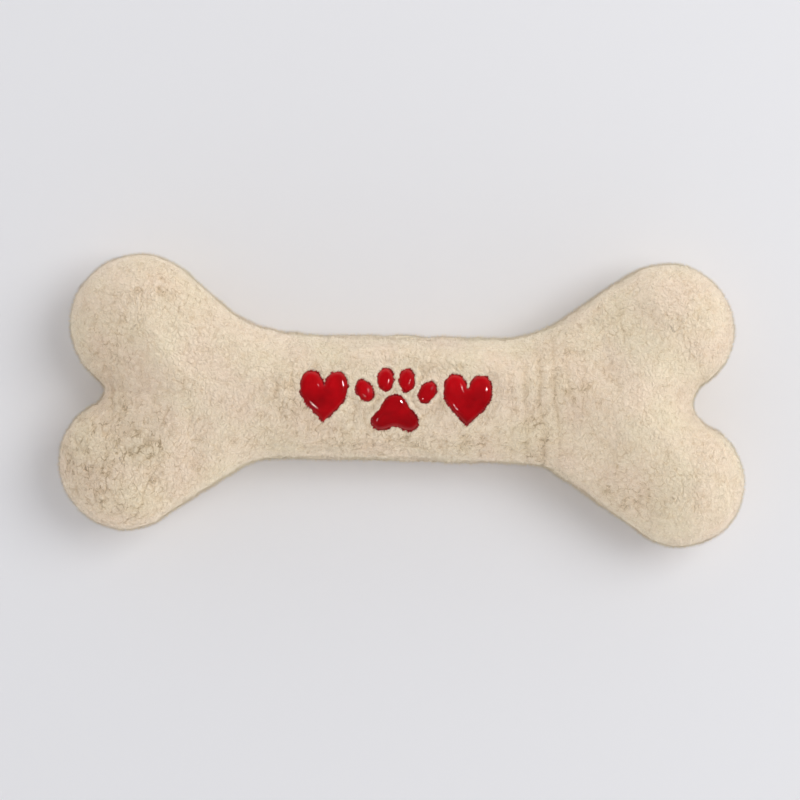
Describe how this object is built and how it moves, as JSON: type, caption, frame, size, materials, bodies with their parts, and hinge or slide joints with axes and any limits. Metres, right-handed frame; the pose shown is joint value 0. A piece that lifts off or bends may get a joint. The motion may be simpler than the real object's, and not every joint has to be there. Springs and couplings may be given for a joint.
{
  "type": "bone-shaped dog toy",
  "caption": "Bone-shaped plush dog toy of cream pile fleece with glossy red heart and paw patches on its face, stuffed, with a squeaker in the shaft.",
  "frame": {"origin": "under the middle of the toy's outline, on the surface that it lies on", "axes": "+X along the toy, +Y across it in the plane of the seam, +Z out of the face that carries the patches"},
  "size_m": [0.3404, 0.14, 0.0615],
  "materials": {
    "fleece": "cream pile fleece, curly and matt",
    "seam_thread": "spun polyester thread, satin",
    "fibrefill": "loose white polyester fibre",
    "blown_plastic": "soft blown plastic, milky",
    "moulded_plastic": "moulded plastic, smooth",
    "reed_film": "polyester film, clear gloss",
    "patent_cloth": "red patent coated cloth, high gloss",
    "red_thread": "spun polyester thread, satin"
  },
  "bodies": {
    "toy": {"front_panel": "fleece", "back_panel": "fleece", "seam_needle_thread": "seam_thread", "seam_bobbin_thread": "seam_thread", "closing_ladder_stitch": "seam_thread", "fill_shaft_front": "fibrefill", "fill_shaft_back": "fibrefill", "fill_knob_upper_left": "fibrefill", "fill_knob_lower_left": "fibrefill", "fill_knob_upper_right": "fibrefill", "fill_knob_lower_right": "fibrefill", "squeaker_bellows": "blown_plastic", "patch_heart_left": "patent_cloth", "stitches_heart_left": "red_thread", "patch_paw_pad": "patent_cloth", "stitches_paw_pad": "red_thread", "patch_toe_outer_left": "patent_cloth", "stitches_toe_outer_left": "red_thread", "patch_toe_inner_left": "patent_cloth", "stitches_toe_inner_left": "red_thread", "patch_toe_inner_right": "patent_cloth", "stitches_toe_inner_right": "red_thread", "patch_toe_outer_right": "patent_cloth", "stitches_toe_outer_right": "red_thread", "patch_heart_right": "patent_cloth", "stitches_heart_right": "red_thread"},
    "reed_unit": {"reed_holder": "moulded_plastic", "reed_seat": "moulded_plastic", "reed_wedge": "moulded_plastic", "reed": "reed_film"}
  },
  "joints": [
    {"name": "squeaker_press", "type": "slide", "parent": "toy", "child": "reed_unit", "axis": [0, 0, -1], "range_m": [0, 0.01], "stiffness_N_per_m": 1000, "deforming": ["squeaker_bellows"]}
  ]
}
